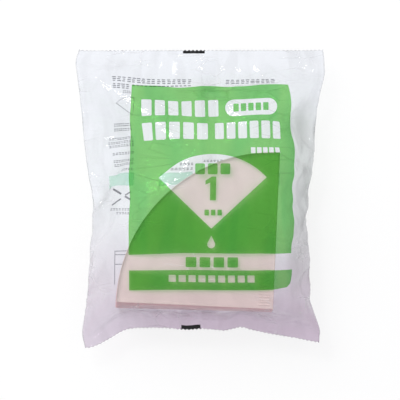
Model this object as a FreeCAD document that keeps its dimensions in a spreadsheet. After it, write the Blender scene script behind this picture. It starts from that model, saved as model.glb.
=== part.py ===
# A sealed clear film pack of one hundred cone paper filters, lying on its back.
# The filters are folded flat: each is a quarter disc with a fold along its lower
# edge and a crimped seam along its right edge, its point at the lower right.
# The bag is one piece of film: a tube with a lap seal down its back, closed by a
# flat seal with a saw-tooth cut at each end. The front print is on the outside of
# the film and the back print on its inside, so that the back lies flat.
# Frame: +Z up, +Y towards the top seal, origin below the middle of the pack.
import FreeCAD, Part

import math
import os
import Sketcher

Vector = FreeCAD.Vector

doc = FreeCAD.newDocument("FilterPack")
sheet = doc.addObject("Spreadsheet::Sheet", "Sizes")

# Driving sizes in millimetres, angles in degrees
driving = [
    ("filter_radius", 105.0, "side of one folded filter, from its point to its rim"),
    ("filter_turn", 2.0, "how far the stack leans to the right"),
    ("filter_count", 100, "filters in the pack"),
    ("filter_thick", 0.40, "one folded filter, two plies pressed"),
    ("filter_gap", 0.05, "air between one filter and the next"),
    ("ply_thick", 0.16, "one ply of the front filter"),
    ("fold_width", 0.6, "strip along the fold that joins the two plies"),
    ("seam_width", 9.0, "crimped seam along the right edge"),
    ("crimp_pitch", 2.0, "one crimp to the next"),
    ("crimp_width", 0.9, "one pressed crimp line"),
    ("crimp_depth", 0.10, "how deep a crimp is pressed"),
    ("crimp_margin", 1.0, "seam left plain beside the crimps"),
    ("film_thick", 0.15, "bag film"),
    ("ink_thick", 0.10, "printed layer"),
    ("ink_lift", 0.08, "underside of the ink above the face of the film"),
    ("stack_clear", 0.08, "air between the stack and the film or its ink"),
    ("seal_width", 6.5, "end seal"),
    ("seal_half", 0.12, "half the thickness of an end seal"),
    ("seal_height", 20.0, "height of the end seals above the table"),
    ("side_fold", 0.25, "film folded on itself along each side"),
    ("tooth_pitch", 2.75, "saw-tooth cut, one tooth to the next"),
    ("tooth_depth", 1.2, "saw-tooth cut, depth"),
    ("lap_width", 10.0, "lap seal down the back"),
    ("lap_shift", 5.5, "lap seal, right of the middle"),
    ("bottom_gap", 7.0, "bottom seal to the stack"),
    ("top_slack", 70.0, "stack to the cut at the top"),
    ("left_drop", 14.5, "how far the bottom left corner hangs down"),
    ("left_flap", 28.0, "width of the hanging corner at the left"),
    ("right_drop", 10.0, "how far the bottom right corner hangs down"),
    ("right_flap", 48.0, "width of the hanging corner at the right"),
    ("stack_shift", 3.7, "stack to the left of the middle"),
    ("waist_wing", 19.5, "film beyond the stack at the waist, each side"),
    ("top_wing", 31.5, "film beyond the stack at the top, each side"),
    ("bottom_wing", 27.5, "film beyond the stack at the bottom, each side"),
    ("waist_level", 92.0, "waist above the bottom left corner"),
    ("head_curve", 1.0, "how the sides widen above the waist: 1 is straight"),
    ("foot_curve", 1.5, "how the sides widen below the waist"),
    ("corner_curve", 1.3, "how the right corner hangs down"),
    ("film_margin", 2.5, "how far past the stack the film stays at full height"),
    ("film_swell", 0.8, "how round the film's slopes are: 0 is straight"),
    ("film_loft", 2.4, "film above the middle of the stack"),
    ("loft_reach", 25.0, "edge of the stack to where the film is highest"),
    ("flat_margin", 3.0, "past the stack, where the back film starts to rise"),
    ("slope_margin", 9.0, "past the stack, where print on the rising film starts"),
    ("panel_left", 47.5, "green panel, left of the middle"),
    ("panel_width", 109.0, "green panel, across"),
    ("panel_drop", 24.5, "cut at the top to the green panel"),
    ("panel_tall", 113.5, "green panel, upper field"),
    ("band_tall", 10.5, "clear band under the upper field"),
    ("bar_tall", 14.8, "green bar under the clear band"),
    ("fan_radius", 49.5, "fan window"),
    ("fan_angle", 94.0, "fan window, opening angle"),
    ("fan_lift", 17.2, "fan window's point above the clear band"),
    ("title_inset", 8.0, "title blocks, in from the left of the panel"),
    ("title_drop", 10.4, "title blocks, down from the top of the panel"),
    ("title_tall", 11.0, "title blocks, height"),
    ("title_step", 16.2, "title blocks, one row to the next"),
    ("title_first", 6, "title blocks in the first row"),
    ("title_second", 5, "title blocks in the second row, first group"),
    ("title_third", 6, "title blocks in the second row, second group"),
    ("block_wide", 6.2, "one title block"),
    ("block_gap", 2.0, "between two title blocks"),
    ("word_gap", 5.0, "between two groups of title blocks"),
    ("pill_long", 35.0, "pill beside the first row"),
    ("pill_bar", 19.0, "green bar in the pill, length"),
    ("pill_line", 3.6, "green bar in the pill, height"),
    ("count_long", 19.5, "small block under the title"),
    ("count_tall", 3.2, "small block under the title, height"),
    ("count_drop", 5.0, "second row to the small block"),
    ("caption_long", 35.0, "block in the clear band"),
    ("caption_tall", 4.6, "block in the clear band, height"),
    ("label_long", 57.0, "block in the green bar"),
    ("label_tall", 3.2, "block in the green bar, height"),
    ("digit_tall", 15.6, "numeral one, height"),
    ("digit_stem", 4.0, "numeral one, stem"),
    ("digit_flag", 3.6, "numeral one, reach of its flag"),
    ("digit_lift", 18.9, "numeral one above the fan's point"),
    ("tag_long", 20.0, "bar above the numeral"),
    ("tag_tall", 4.0, "bar above the numeral, height"),
    ("tag_gap", 3.6, "numeral to the bar above it"),
    ("note_long", 11.0, "bar below the numeral"),
    ("note_tall", 1.6, "bar below the numeral, height"),
    ("note_gap", 6.0, "numeral to the bar below it"),
    ("drop_wide", 5.0, "drop under the fan window, width"),
    ("drop_tall", 8.0, "drop under the fan window, height"),
    ("drop_gap", 5.8, "fan's point to the drop's tip"),
    ("mark_long", 14.5, "black register mark on each end seal"),
    ("mark_tall", 3.0, "register mark, height"),
    ("mark_shift", 3.0, "register mark, left of the middle"),
    ("back_inset", 12.0, "back printing, in from the waist"),
    ("back_clear", 4.0, "back printing, clear of the lap seal"),
    ("back_drop", 18.0, "cut at the top to the back printing"),
    ("line_tall", 1.4, "one line of back printing"),
    ("line_step", 5.2, "one line to the next"),
    ("line_count", 6, "lines in one block of back printing"),
    ("line_short", 0.55, "last line of a block, as a share of the others"),
    ("figure_count", 3, "fan figures in one column of the back"),
    ("figure_angle", 90.0, "fan figures on the back, opening angle"),
    ("figure_tall", 14.0, "fan figures on the back, height"),
    ("figure_line", 0.7, "fan figures on the back, line"),
    ("strip_drop", 84.0, "cut at the top to the green strip on the back"),
    ("strip_tall", 8.2, "green strip on the back"),
]
for row, (alias, value, note) in enumerate(driving, 1):
    sheet.set(f"A{row}", note)
    sheet.set(f"B{row}", str(value))
    sheet.setAlias(f"B{row}", alias)
doc.recompute()

# Sizes worked out from the driving ones, in cells of their own
derived = [
    ("bag_length", "=seal_width + bottom_gap + filter_radius + top_slack + left_drop"),
    ("top_edge", "=bag_length / 2"),
    ("corner_edge", "=0 - bag_length / 2"),
    ("bottom_edge", "=corner_edge + left_drop"),
    ("point_x", "=filter_radius / 2 - stack_shift"),
    ("point_y", "=bottom_edge + seal_width + bottom_gap"),
    ("ink_top", "=ink_lift + ink_thick"),
    ("stack_base", "=film_thick + max(film_thick; ink_top) + stack_clear"),
    ("filter_step", "=filter_thick + filter_gap"),
    ("front_base", "=stack_base + (filter_count - 1) * filter_step"),
    ("film_height", "=front_base + filter_thick + stack_clear + film_thick"),
    ("gap_thick", "=filter_thick - 2 * ply_thick"),
    ("gap_top", "=front_base + filter_thick - ply_thick"),
    ("front_top", "=front_base + filter_thick"),
    ("crimp_start", "=seam_width"),
    ("crimp_long", "=seam_width - 2 * crimp_margin"),
    ("crimp_count", "=floor((filter_radius - 2 * seam_width) / crimp_pitch)"),
    ("crimp_span", "=(crimp_count - 1) * crimp_pitch"),
    ("stack_count", "=filter_count - 1"),
    ("stack_span", "=(filter_count - 2) * filter_step"),
    ("waist_y", "=corner_edge + waist_level"),
    ("half_waist", "=filter_radius / 2 + waist_wing"),
    ("half_top", "=filter_radius / 2 + top_wing"),
    ("half_bottom", "=filter_radius / 2 + bottom_wing"),
    ("panel_top", "=top_edge - panel_drop"),
    ("panel_low", "=panel_top - panel_tall"),
    ("bar_top", "=panel_low - band_tall"),
    ("bar_low", "=bar_top - bar_tall"),
    ("panel_start", "=0 - panel_left"),
    ("panel_end", "=panel_width - panel_left"),
    ("panel_middle", "=panel_width / 2 - panel_left"),
    ("fan_y", "=panel_low + fan_lift"),
    ("title_start", "=panel_start + title_inset"),
    ("title_end", "=panel_end - title_inset"),
    ("row_one", "=panel_top - title_drop - title_tall"),
    ("row_two", "=row_one - title_step"),
    ("digit_low", "=fan_y + digit_lift"),
    ("lap_start", "=lap_shift - lap_width / 2"),
    ("back_left", "=0 - half_waist + back_inset"),
    ("back_left_end", "=lap_start - back_clear"),
    ("back_right", "=lap_start + lap_width + back_clear"),
    ("back_right_end", "=half_waist - back_inset"),
    ("back_top", "=top_edge - back_drop"),
    ("strip_top", "=top_edge - strip_drop"),
]
for row, (alias, formula) in enumerate(derived, len(driving) + 2):
    sheet.set(f"B{row}", formula)
    sheet.setAlias(f"B{row}", alias)
    doc.recompute()


values = {entry[0]: float(sheet.get(entry[0])) for entry in driving + derived}


def size(alias):
    return values[alias]


# The bag seen from above, as a net: across runs from -1 to 1 between the side
# folds, along runs from 0 to 1 between the inner edges of the two end seals

def ramp(value):
    return min(1.0, max(0.0, value))


def bottom_cut(x):
    """The lower cut: straight under the stack, with a hanging corner each side."""
    left = ramp((size("left_flap") - size("half_bottom") - x) / size("left_flap"))
    right = ramp((size("right_flap") - size("half_bottom") + x) / size("right_flap"))
    hang = size("left_drop") * left + size("right_drop") * right ** size("corner_curve")
    return size("bottom_edge") - hang


def half_width(along):
    """Half the bag's width, narrowest at the waist."""
    low, high = size("bottom_edge") + size("seal_width"), size("top_edge") - size("seal_width")
    waist_share = (size("waist_y") - low) / (high - low)
    waist = size("half_waist")
    if along > waist_share:
        share = (along - waist_share) / (1 - waist_share)
        return waist + (size("half_top") - waist) * share ** size("head_curve")
    share = (waist_share - along) / waist_share
    return waist + (size("half_bottom") - waist) * share ** size("foot_curve")


def plan_point(across, along):
    x = across * half_width(along)
    low, high = bottom_cut(x) + size("seal_width"), size("top_edge") - size("seal_width")
    return x, low + along * (high - low)


# The film's height: full over the stack, falling to the seals and the side folds

def stack_axes(x, y):
    """How far a point lies left of the seam and above the fold."""
    turn = math.radians(size("filter_turn"))
    dx, dy = x - size("point_x"), y - size("point_y")
    return dy * math.sin(turn) - dx * math.cos(turn), dx * math.sin(turn) + dy * math.cos(turn)


def loft(x, y):
    """How far the film stands above the stack, from its edges to its middle."""
    left, up = stack_axes(x, y)
    depth = min(left, up, size("filter_radius") - math.hypot(left, up))
    return size("film_loft") * math.sin(ramp(depth / size("loft_reach")) * math.pi / 2)


def stack_distance(x, y):
    """How far a point lies outside the quarter disc of the stack."""
    left, up = stack_axes(x, y)
    radius = size("filter_radius")
    if left >= 0 and up >= 0:
        return max(0.0, math.hypot(left, up) - radius)
    if left < 0 and up < 0:
        return math.hypot(left, up)
    outside, level = (-left, up) if left < 0 else (-up, left)
    return math.hypot(outside, max(0.0, level - radius))


def fullness(across, along):
    """0 at the seals and side folds, 1 over the stack."""
    x, y = plan_point(across, along)
    seal = size("seal_width")
    edge = min(half_width(along) - abs(x), size("top_edge") - seal - y, y - bottom_cut(x) - seal)
    away = max(0.0, stack_distance(x, y) - size("film_margin"))
    share = max(0.0, edge) / max(0.01, edge + away)
    swell = size("film_swell")
    return (1 - swell) * share + swell * math.sin(share * math.pi / 2)


def front_height(across, along):
    foot = size("seal_height") + size("seal_half")
    level = foot + (size("film_height") - foot) * fullness(across, along)
    return level + loft(*plan_point(across, along))


def back_height(across, along):
    foot = size("seal_height") - size("seal_half")
    below_table = 4 * size("film_thick")
    return foot - (foot + below_table) * fullness(across, along)


# Places across and along at which the film is shaped, closest near the edges
side_steps = [0.0, 0.006, 0.015, 0.03, 0.05, 0.08, 0.115, 0.155, 0.2]
middle_count = 34
middle_steps = [0.2 + 1.6 * i / middle_count for i in range(1, middle_count)]
across_steps = [step - 1 for step in side_steps + middle_steps] + [1 - step for step in side_steps[::-1]]
foot_steps = [0.0, 0.003, 0.007, 0.012, 0.018, 0.025, 0.034, 0.045, 0.06]
head_steps = [0.0, 0.004, 0.012, 0.03, 0.06]
length_count = 26
length_steps = [0.06 + 0.88 * i / length_count for i in range(1, length_count)]
along_steps = foot_steps + length_steps + [1 - step for step in head_steps[::-1]]


def net_point(height, across, along):
    x, y = plan_point(across, along)
    return Vector(x, y, height(across, along))


def net_normal(height, across, along):
    step = 0.002
    left, right = max(-1.0, across - step), min(1.0, across + step)
    low, high = max(0.0, along - step), min(1.0, along + step)
    over = net_point(height, right, along) - net_point(height, left, along)
    up = net_point(height, across, high) - net_point(height, across, low)
    return over.cross(up).normalize()


def rim_point(across, along):
    """The inside of a side fold or end seal, half way up the pack."""
    inset = size("side_fold")
    x, y = plan_point(across * (1 - inset / size("half_waist")), along)
    if along in (0, 1):
        y += inset if along == 0 else -inset
    return Vector(x, y, size("seal_height"))


def in_lap(across, along):
    x, _ = plan_point(across, along)
    return 0 <= x - size("lap_start") <= size("lap_width")


def film_surface(height, offset=0.0, closed_rim=False, lap=0.0):
    """The film's front or back, moved by offset along its own normal, and by lap more
    along the lap seal."""
    poles = []
    for across in across_steps:
        column = []
        for along in along_steps:
            if closed_rim and (abs(across) == 1 or along in (0, 1)):
                column.append(rim_point(across, along))
            else:
                point = net_point(height, across, along)
                away = offset + lap if in_lap(across, along) else offset
                column.append(point + net_normal(height, across, along) * away)
        poles.append(column)

    def mults_and_knots(count):
        return [3] + [1] * (count - 3) + [3], [float(i) for i in range(count - 1)]

    u_mults, u_knots = mults_and_knots(len(across_steps))
    v_mults, v_knots = mults_and_knots(len(along_steps))
    surface = Part.BSplineSurface()
    surface.buildFromPolesMultsKnots(poles, u_mults, v_mults, u_knots, v_knots, False, False, 2, 2)
    return surface


def border(surface):
    """The four edges of a surface: left, right, foot and head."""
    u_low, u_high, v_low, v_high = surface.bounds()
    curves = [surface.uIso(u_low), surface.uIso(u_high), surface.vIso(v_low), surface.vIso(v_high)]
    return [curve.toShape() for curve in curves]


def sewn(faces):
    shell = Part.makeShell(faces)
    shell.sewShape()
    solid = Part.makeSolid(shell)
    if solid.Volume < 0:
        solid.reverse()
    return solid


def segments(points):
    return [Part.LineSegment(a, b).toShape() for a, b in zip(points, points[1:])]


def teeth(height, at_top):
    """The saw-tooth cut of one end seal, from its left corner to its right."""
    pitch, depth = size("tooth_pitch"), size("tooth_depth")
    reach = half_width(1 if at_top else 0)
    count = 2 * round(2 * reach / pitch)
    points = []
    for i in range(count + 1):
        x = reach * (2 * i / count - 1)
        y = size("top_edge") - depth * (i % 2) if at_top else bottom_cut(x) + depth * (i % 2)
        points.append(Vector(x, y, height))
    return points


def seal_face(inner_edge, height, at_top):
    """One side of an end seal, between its inner edge and its cut."""
    points = teeth(height, at_top)
    ends = sorted((vertex.Point for vertex in inner_edge.Vertexes), key=lambda point: point.x)
    edges = [inner_edge] + segments([ends[0]] + points + [ends[1]])
    return Part.Face(Part.Wire(Part.__sortEdges__(edges)))


def above_table(solid, level):
    """The part of a solid above a level, which leaves it a flat underside."""
    wide = 2 * size("bag_length")
    return solid.common(Part.makeBox(wide, wide, wide, Vector(-wide / 2, -wide / 2, level)))


def film_bag():
    thick = 2 * size("seal_half")
    front, back = film_surface(front_height), film_surface(back_height)
    front_edges, back_edges = border(front), border(back)
    faces = [front.toShape(), back.toShape()]
    for i in (0, 1):
        faces.append(Part.makeRuledSurface(back_edges[i], front_edges[i]))
    for i, at_top in ((2, False), (3, True)):
        for edge in (back_edges[i], front_edges[i]):
            faces.append(seal_face(edge, edge.Vertexes[0].Z, at_top))
        ends = sorted((vertex.Point for vertex in back_edges[i].Vertexes), key=lambda point: point.x)
        cut = [ends[0]] + teeth(ends[0].z, at_top) + [ends[1]]
        faces += [edge.extrude(Vector(0, 0, thick)) for edge in segments(cut)]
    outer = above_table(sewn(faces), 0)
    film = size("film_thick")
    lining = film_surface(front_height, -film, True), film_surface(back_height, film, True, film)
    inside = above_table(sewn([surface.toShape() for surface in lining]), film)
    lap_corner = Vector(size("lap_start"), size("corner_edge"), film)
    inside = inside.cut(Part.makeBox(size("lap_width"), size("bag_length"), film, lap_corner))
    return Part.makeSolid(Part.Compound([outer.Shells[0], inside.Shells[0].reversed()]))


# Flat outlines of the print

def bar(x, y, wide, tall):
    """A plain block, from its lower left corner."""
    return Part.makePlane(wide, tall, Vector(x, y, 0))


def pill(x, y, wide, tall):
    """A bar with round ends."""
    half = tall / 2
    left, right = x + half, x + wide - half
    edges = [
        Part.LineSegment(Vector(left, y), Vector(right, y)).toShape(),
        Part.Arc(Vector(right, y), Vector(x + wide, y + half), Vector(right, y + tall)).toShape(),
        Part.LineSegment(Vector(right, y + tall), Vector(left, y + tall)).toShape(),
        Part.Arc(Vector(left, y + tall), Vector(x, y + half), Vector(left, y)).toShape(),
    ]
    return Part.Face(Part.Wire(edges))


def fan(x, y, radius, low_angle, high_angle):
    """A piece of a disc with its point at x, y."""
    def rim(angle):
        turn = math.radians(angle)
        return Vector(x + radius * math.cos(turn), y + radius * math.sin(turn))

    point = Vector(x, y)
    arc = Part.Arc(rim(low_angle), rim((low_angle + high_angle) / 2), rim(high_angle)).toShape()
    sides = Part.LineSegment(point, rim(low_angle)), Part.LineSegment(rim(high_angle), point)
    return Part.Face(Part.Wire([sides[0].toShape(), arc, sides[1].toShape()]))


def drop(x, tip, wide, tall):
    """A drop that hangs below its tip: a disc and the two lines that touch it."""
    radius = wide / 2
    rise = tall - radius
    touch = math.asin(radius / rise)
    centre = Vector(x, tip - rise)
    left = centre + Vector(-radius * math.cos(touch), radius * math.sin(touch))
    right = centre + Vector(radius * math.cos(touch), radius * math.sin(touch))
    arc = Part.Arc(left, centre + Vector(0, -radius), right).toShape()
    sides = Part.LineSegment(right, Vector(x, tip)), Part.LineSegment(Vector(x, tip), left)
    return Part.Face(Part.Wire([arc, sides[0].toShape(), sides[1].toShape()]))


def numeral_one(x, y):
    """A plain numeral one: a stem with a slanted flag at its head."""
    tall, stem, flag = size("digit_tall"), size("digit_stem"), size("digit_flag")
    right, left = x + stem / 2, x - stem / 2
    points = [
        Vector(left, y),
        Vector(right, y),
        Vector(right, y + tall),
        Vector(left, y + tall),
        Vector(left - flag, y + tall - flag),
        Vector(left - flag, y + tall - 2 * flag),
        Vector(left, y + tall - 1.5 * flag),
        Vector(left, y),
    ]
    return Part.Face(Part.Wire(segments(points)))


def blocks(x, y, count):
    """A group of plain title blocks in a row."""
    pitch = size("block_wide") + size("block_gap")
    return [bar(x + i * pitch, y, size("block_wide"), size("title_tall")) for i in range(int(count))]


def front_outline():
    """The green ink of the front, as flat faces."""
    start, end, middle = size("panel_start"), size("panel_end"), size("panel_middle")
    row_one, row_two, title_end = size("row_one"), size("row_two"), size("title_end")
    pitch = size("block_wide") + size("block_gap")
    second_word = size("title_start") + size("title_second") * pitch - size("block_gap") + size("word_gap")
    pill_start = title_end - size("pill_long")
    count_low = row_two - size("count_drop") - size("count_tall")
    clear = blocks(size("title_start"), row_one, size("title_first"))
    clear += blocks(size("title_start"), row_two, size("title_second"))
    clear += blocks(second_word, row_two, size("title_third"))
    clear.append(pill(pill_start, row_one, size("pill_long"), size("title_tall")))
    clear.append(bar(title_end - size("count_long"), count_low, size("count_long"), size("count_tall")))
    half_fan = size("fan_angle") / 2
    clear.append(fan(middle, size("fan_y"), size("fan_radius"), 90 - half_fan, 90 + half_fan))
    drop_tip = size("fan_y") - size("drop_gap")
    clear.append(drop(middle, drop_tip, size("drop_wide"), size("drop_tall")))
    field = bar(start, size("panel_low"), size("panel_width"), size("panel_tall")).cut(clear)

    label_low = size("bar_low") + (size("bar_tall") - size("label_tall")) / 2
    label = bar(middle - size("label_long") / 2, label_low, size("label_long"), size("label_tall"))
    lower = bar(start, size("bar_low"), size("panel_width"), size("bar_tall")).cut(label)

    digit_low, digit_top = size("digit_low"), size("digit_low") + size("digit_tall")
    pill_line_low = row_one + (size("title_tall") - size("pill_line")) / 2
    pill_line_start = pill_start + (size("pill_long") - size("pill_bar")) / 2
    caption_low = size("bar_top") + (size("band_tall") - size("caption_tall")) / 2
    caption_start = middle - size("caption_long") / 2
    note_low = digit_low - size("note_gap") - size("note_tall")
    islands = [
        pill(pill_line_start, pill_line_low, size("pill_bar"), size("pill_line")),
        numeral_one(middle, digit_low),
        bar(middle - size("tag_long") / 2, digit_top + size("tag_gap"), size("tag_long"), size("tag_tall")),
        bar(middle - size("note_long") / 2, note_low, size("note_long"), size("note_tall")),
        bar(caption_start, caption_low, size("caption_long"), size("caption_tall")),
    ]
    return field.Faces + lower.Faces + islands


def back_lines(left, right, top):
    """A block of plain lines, the last one short."""
    lines = []
    count = int(size("line_count"))
    for i in range(count):
        wide = (right - left) * (size("line_short") if i == count - 1 else 1)
        lines.append(bar(left, top - size("line_tall") - i * size("line_step"), wide, size("line_tall")))
    return lines


def fan_figure(x, low):
    """A filter drawn in line: the rim of a fan."""
    tall, line, half = size("figure_tall"), size("figure_line"), size("figure_angle") / 2
    point_line = line / math.sin(math.radians(half))
    outer = fan(x, low, tall, 90 - half, 90 + half)
    return outer.cut(fan(x, low + point_line, tall - point_line - line, 90 - half, 90 + half))


def back_outline():
    """The dark ink of the back, as flat faces, in a column each side of the lap seal."""
    left, left_end = size("back_left"), size("back_left_end")
    right, right_end = size("back_right"), size("back_right_end")
    top, block = size("back_top"), size("line_count") * size("line_step")
    figure_low = top - size("line_step") * 2 - size("figure_tall")
    faces = back_lines(left, left_end, top)[:2] + back_lines(right, right_end, top)[:2]
    for start, end in ((left, left_end), (right, right_end)):
        pitch = (end - start) / size("figure_count")
        for i in range(int(size("figure_count"))):
            faces += fan_figure(start + (i + 0.5) * pitch, figure_low).Faces
        lines_top = figure_low - size("line_step")
        faces += back_lines(start, end, lines_top)
        low_top = size("strip_top") - size("strip_tall") - size("line_step")
        faces += back_lines(start, end, low_top) + back_lines(start, end, low_top - block - size("line_step"))
    return faces


def strip_outline():
    """The green strip across both columns of the back."""
    low = size("strip_top") - size("strip_tall")
    left = bar(size("back_left"), low, size("back_left_end") - size("back_left"), size("strip_tall"))
    right = bar(size("back_right"), low, size("back_right_end") - size("back_right"), size("strip_tall"))
    return [left, right]


# Ink on the film

def stack_area(margin):
    """The quarter disc of the stack, grown by a margin."""
    x, y = size("point_x") + margin, size("point_y") - margin
    area = fan(x, y, size("filter_radius") + (1 + math.sqrt(2)) * margin, 90, 180)
    area.rotate(Vector(size("point_x"), size("point_y")), Vector(0, 0, 1), -size("filter_turn"))
    return area


def net_range(steps, places):
    """The stretch of the net that holds all the places, rounded outward."""
    middles = [(low + high) / 2 for low, high in zip(steps, steps[1:])]
    below = [i for i, middle in enumerate(middles) if middle <= min(places)]
    above = [i for i, middle in enumerate(middles) if middle >= max(places)]
    return float(below[-1] if below else 0), float(above[0] if above else len(middles) - 1)


def ink_sheet(surfaces, area):
    """A thin layer on the film, over the box of one flat outline."""
    room = 1.0
    box = area.BoundBox
    sides, ends = (box.XMin - room, box.XMax + room), (box.YMin - room, box.YMax + room)
    high = size("top_edge") - size("seal_width")
    lows = size("corner_edge") + size("seal_width"), size("bottom_edge") + size("seal_width")
    reaches = size("half_waist"), size("half_top")
    across = net_range(across_steps, [x / reach for x in sides for reach in reaches])
    along = net_range(along_steps, [(y - low) / (high - low) for y in ends for low in lows])
    sheets = [surface.copy() for surface in surfaces]
    for surface in sheets:
        surface.segment(*across, *along)
    faces = [surface.toShape() for surface in sheets]
    for low_edge, high_edge in zip(border(sheets[0]), border(sheets[1])):
        faces.append(Part.makeRuledSurface(low_edge, high_edge))
    return sewn(faces)


def upright(faces, low, tall):
    blocks = []
    for face in faces:
        block = face.copy()
        block.translate(Vector(0, 0, low))
        blocks.append(block.extrude(Vector(0, 0, tall)))
    return Part.Compound(blocks)


def draped(faces, height, low_offset, high_offset):
    """Flat outlines laid on the film as thin layers."""
    surfaces = film_surface(height, low_offset), film_surface(height, high_offset)
    tall = 3 * size("film_height")
    layers = []
    for face in faces:
        layers += upright([face], -tall / 3, tall).common(ink_sheet(surfaces, face)).Solids
    return layers


def front_print():
    return Part.Compound(draped(front_outline(), front_height, size("ink_lift"), size("ink_top")))


def back_ink(faces):
    """Ink on the inside of the back: flat under the stack, on the sloping film around it."""
    film, low = size("film_thick"), size("film_thick") + size("ink_lift")
    flat_area, sloping_from = stack_area(size("flat_margin")), stack_area(size("slope_margin"))
    flat = [piece for face in faces for piece in face.common(flat_area).Faces]
    sloping = [piece for face in faces for piece in face.cut(sloping_from).Faces]
    layers = draped(sloping, back_height, low, film + size("ink_top"))
    return Part.Compound(upright(flat, low, size("ink_thick")).Solids + layers)


def register_marks():
    """A black block on each end seal, cut off with it."""
    level = size("seal_height") + size("seal_half")
    start = -size("mark_shift") - size("mark_long") / 2
    marks = []
    front_edges = border(film_surface(front_height))
    for i, at_top in ((2, False), (3, True)):
        low = size("top_edge") - size("mark_tall") if at_top else size("bottom_edge") - size("tooth_depth")
        tall = size("mark_tall") + size("tooth_depth")
        area = bar(start, low, size("mark_long"), tall)
        area.translate(Vector(0, 0, level))
        mark = seal_face(front_edges[i], level, at_top).common(area)
        marks += [face.extrude(Vector(0, 0, size("ink_thick"))) for face in mark.Faces]
    return Part.Compound(marks)


# Sub-parts

def add_part(label, shape):
    item = doc.addObject("Part::Feature", label)
    item.Label = label
    item.Shape = shape
    item.Placement = FreeCAD.Placement()
    return item


def origin_item(body, role):
    return next(item for item in body.Origin.OriginFeatures if item.Role == role)


def new_body(label):
    """A body with its origin at the point of the filters, turned as they lie."""
    body = doc.addObject("PartDesign::Body", label)
    body.Label = label
    body.Placement = FreeCAD.Placement(Vector(), FreeCAD.Rotation(Vector(0, 0, 1), 0))
    body.setExpression("Placement.Base.x", "Sizes.point_x")
    body.setExpression("Placement.Base.y", "Sizes.point_y")
    body.setExpression("Placement.Rotation.Angle", "0 - Sizes.filter_turn")
    return body


def new_sketch(body, name, level):
    sketch = body.newObject("Sketcher::SketchObject", name)
    sketch.AttachmentSupport = [(origin_item(body, "XY_Plane"), "")]
    sketch.MapMode = "FlatFace"
    sketch.setExpression("AttachmentOffset.Base.z", f"Sizes.{level}")
    return sketch


def quarter_disc(body, name, level):
    """Fold line, rim and seam line, with the point at the origin."""
    sketch = new_sketch(body, name, level)
    radius = size("filter_radius")
    circle = Part.Circle(Vector(), Vector(0, 0, 1), radius)
    sketch.addGeometry(Part.LineSegment(Vector(), Vector(-radius, 0)), False)
    sketch.addGeometry(Part.ArcOfCircle(circle, math.pi / 2, math.pi), False)
    sketch.addGeometry(Part.LineSegment(Vector(0, radius), Vector()), False)
    sketch.addConstraint(Sketcher.Constraint("Coincident", 0, 1, -1, 1))
    sketch.addConstraint(Sketcher.Constraint("Coincident", 1, 3, -1, 1))
    sketch.addConstraint(Sketcher.Constraint("Coincident", 2, 2, -1, 1))
    sketch.addConstraint(Sketcher.Constraint("Coincident", 0, 2, 1, 2))
    sketch.addConstraint(Sketcher.Constraint("Coincident", 1, 1, 2, 1))
    sketch.addConstraint(Sketcher.Constraint("Horizontal", 0))
    sketch.addConstraint(Sketcher.Constraint("Vertical", 2))
    sketch.addConstraint(Sketcher.Constraint("Radius", 1, radius))
    sketch.renameConstraint(7, "side")
    sketch.setExpression("Constraints.side", "Sizes.filter_radius")
    return sketch


def corner_box(body, name, level, right, low, wide, tall):
    """A rectangle given by its lower right corner, left and up from the point."""
    sketch = new_sketch(body, name, level)
    x, y, a, b = size(right), size(low), size(wide), size(tall)
    corners = [Vector(-x, y), Vector(-x - a, y), Vector(-x - a, y + b), Vector(-x, y + b)]
    for i in range(4):
        sketch.addGeometry(Part.LineSegment(corners[i], corners[(i + 1) % 4]), False)
    for i in range(4):
        sketch.addConstraint(Sketcher.Constraint("Coincident", i, 2, (i + 1) % 4, 1))
    for i, kind in enumerate(("Horizontal", "Vertical", "Horizontal", "Vertical")):
        sketch.addConstraint(Sketcher.Constraint(kind, i))
    lengths = [
        ("in_from_seam", "DistanceX", (0, 1, -1, 1), x, right),
        ("up_from_fold", "DistanceY", (-1, 1, 0, 1), y, low),
        ("wide", "DistanceX", (0, 2, 0, 1), a, wide),
        ("tall", "DistanceY", (1, 1, 1, 2), b, tall),
    ]
    for i, (name, kind, places, value, alias) in enumerate(lengths, 8):
        sketch.addConstraint(Sketcher.Constraint(kind, *places, value))
        sketch.renameConstraint(i, name)
        sketch.setExpression(f"Constraints.{name}", f"Sizes.{alias}")
    return sketch


def pad(body, name, sketch, length):
    feature = body.newObject("PartDesign::Pad", name)
    feature.Profile = sketch
    feature.setExpression("Length", f"Sizes.{length}")
    return feature


def pocket(body, name, sketch, length):
    feature = body.newObject("PartDesign::Pocket", name)
    feature.Profile = sketch
    feature.setExpression("Length", f"Sizes.{length}")
    return feature


def row_of(body, name, feature, axis, span, count):
    pattern = body.newObject("PartDesign::LinearPattern", name)
    pattern.Originals = [feature]
    pattern.Direction = (origin_item(body, axis), [""])
    pattern.setExpression("Length", f"Sizes.{span}")
    pattern.setExpression("Occurrences", f"Sizes.{count}")
    body.Tip = pattern
    return pattern


def front_filter():
    """The top filter in full: two plies, fold, open rim and crimped seam."""
    body = new_body("front_filter")
    pad(body, "FilterPad", quarter_disc(body, "FilterOutline", "front_base"), "filter_thick")
    opening = corner_box(body, "OpeningOutline", "gap_top", "seam_width", "fold_width",
                         "filter_radius", "filter_radius")
    pocket(body, "Opening", opening, "gap_thick")
    crimp = corner_box(body, "CrimpOutline", "front_top", "crimp_margin", "crimp_start",
                       "crimp_long", "crimp_width")
    doc.recompute()
    pressed = pocket(body, "Crimp", crimp, "crimp_depth")
    doc.recompute()
    row_of(body, "Crimps", pressed, "Y_Axis", "crimp_span", "crimp_count")
    return body


def paper_filters():
    """The filters under it, in one stack."""
    body = new_body("paper_filters")
    low = pad(body, "LowFilter", quarter_disc(body, "LowOutline", "stack_base"), "filter_thick")
    doc.recompute()
    row_of(body, "Stack", low, "Z_Axis", "stack_span", "stack_count")
    return body


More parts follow.
